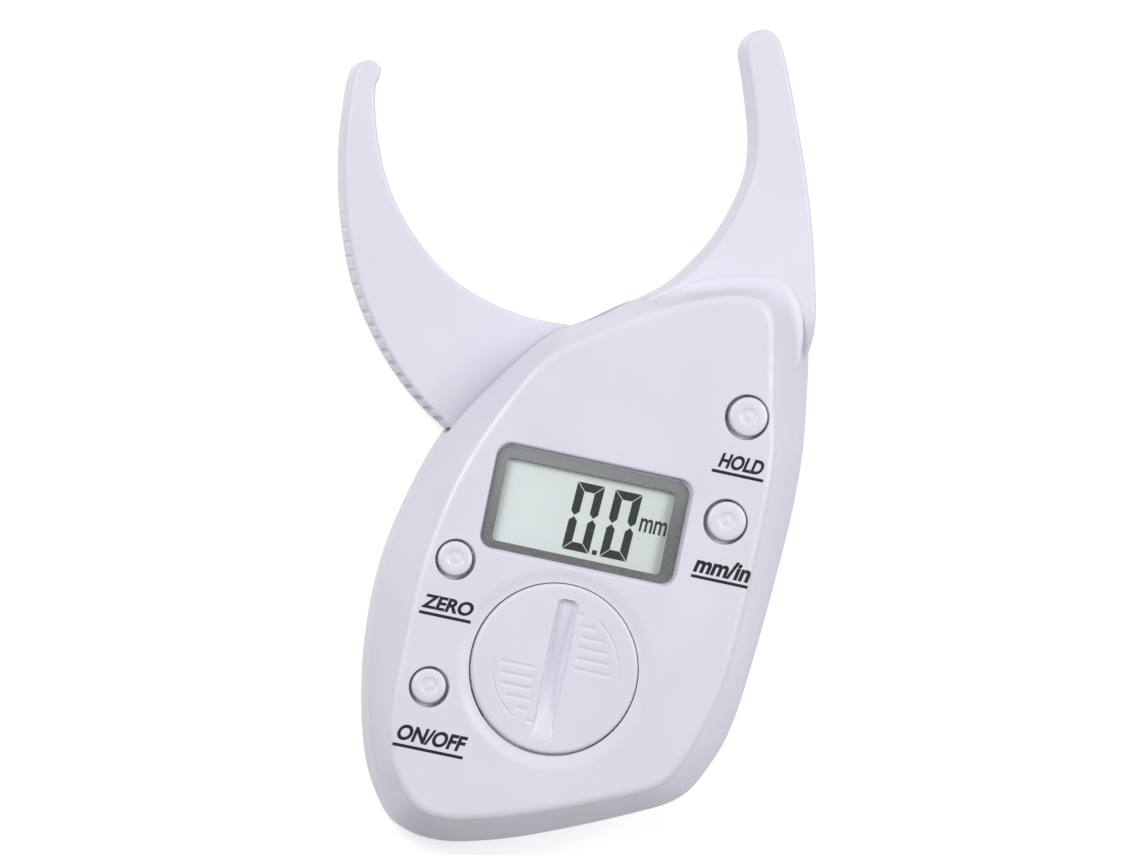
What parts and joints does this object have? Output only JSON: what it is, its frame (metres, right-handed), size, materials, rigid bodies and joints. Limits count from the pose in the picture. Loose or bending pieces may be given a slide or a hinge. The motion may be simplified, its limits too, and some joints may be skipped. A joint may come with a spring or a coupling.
{
  "type": "digital skinfold caliper",
  "caption": "Hand-held digital skinfold caliper: curved fixed jaw, pivoting thumb jaw with serrated edge, display, push buttons, coin-slot battery cover.",
  "frame": {"origin": "under the middle of the whole caliper's bounding box, on the flat back that it lies on, with the jaws fully open", "axes": "+Z out of the display face, +X along the display from left to right, +Y towards the jaws"},
  "size_m": [0.0778, 0.1264, 0.0185],
  "materials": {
    "white_plastic": "satin moulded ABS, cool white",
    "button_plastic": "satin moulded plastic",
    "clear_plastic": "clear polished acrylic",
    "display_glass": "liquid crystal panel with a grey-green reflector",
    "holder_plastic": "moulded plastic frame",
    "contact_rubber": "layered conductive elastomer",
    "board": "glass-epoxy board with solder mask",
    "black_resin": "black resin",
    "copper": "plated copper alloy sheet",
    "spring_steel": "spring steel wire and sheet",
    "zinc_steel": "zinc-plated steel",
    "washer_nylon": "natural nylon"
  },
  "bodies": {
    "case": {"front_shell": "white_plastic", "rear_shell": "white_plastic", "display_lens": "clear_plastic", "display_panel": "display_glass", "display_holder": "holder_plastic", "contact_strip_lower": "contact_rubber", "contact_strip_upper": "contact_rubber", "display_driver": "black_resin", "main_board": "board", "timing_crystal": "zinc_steel", "coin_cell": "zinc_steel", "negative_contact": "copper", "positive_contact": "copper", "hold_switch": "black_resin", "unit_switch": "black_resin", "zero_switch": "black_resin", "power_switch": "black_resin", "pivot_axle": "zinc_steel", "pivot_washer": "washer_nylon", "pivot_clip": "spring_steel", "return_spring": "spring_steel", "case_screw_1": "zinc_steel", "case_screw_2": "zinc_steel", "case_screw_3": "zinc_steel", "case_screw_4": "zinc_steel", "board_screw_1": "zinc_steel", "board_screw_2": "zinc_steel", "board_screw_3": "zinc_steel"},
    "jaw": {"moving_jaw": "white_plastic", "travel_scale_plate": "copper"},
    "cover": {"battery_cover": "white_plastic"},
    "hold_key": {"hold_button": "button_plastic"},
    "unit_key": {"unit_button": "button_plastic"},
    "zero_key": {"zero_button": "button_plastic"},
    "power_key": {"power_button": "button_plastic"}
  },
  "joints": [
    {"name": "jaw_swing", "type": "hinge", "parent": "case", "child": "jaw", "pos_m": [0.00533, 0.00461, 0.0059], "axis": [0, 0, -1], "range_deg": [0, 56.3], "stiffness_Nm_per_rad": 0.03, "springref_deg": -28.65, "deforming": ["return_spring"]},
    {"name": "cover_turn", "type": "hinge", "parent": "case", "child": "cover", "pos_m": [0.00683, -0.03524, 0.017], "axis": [0, 0, 1], "range_deg": [0, 35]},
    {"name": "hold_press", "type": "slide", "parent": "case", "child": "hold_key", "axis": [0, 0, -1], "range_m": [0, 0.0006], "stiffness_N_per_m": 1500},
    {"name": "unit_press", "type": "slide", "parent": "case", "child": "unit_key", "axis": [0, 0, -1], "range_m": [0, 0.0006], "stiffness_N_per_m": 1500},
    {"name": "zero_press", "type": "slide", "parent": "case", "child": "zero_key", "axis": [0, 0, -1], "range_m": [0, 0.0006], "stiffness_N_per_m": 1500},
    {"name": "power_press", "type": "slide", "parent": "case", "child": "power_key", "axis": [0, 0, -1], "range_m": [0, 0.0006], "stiffness_N_per_m": 1500}
  ]
}
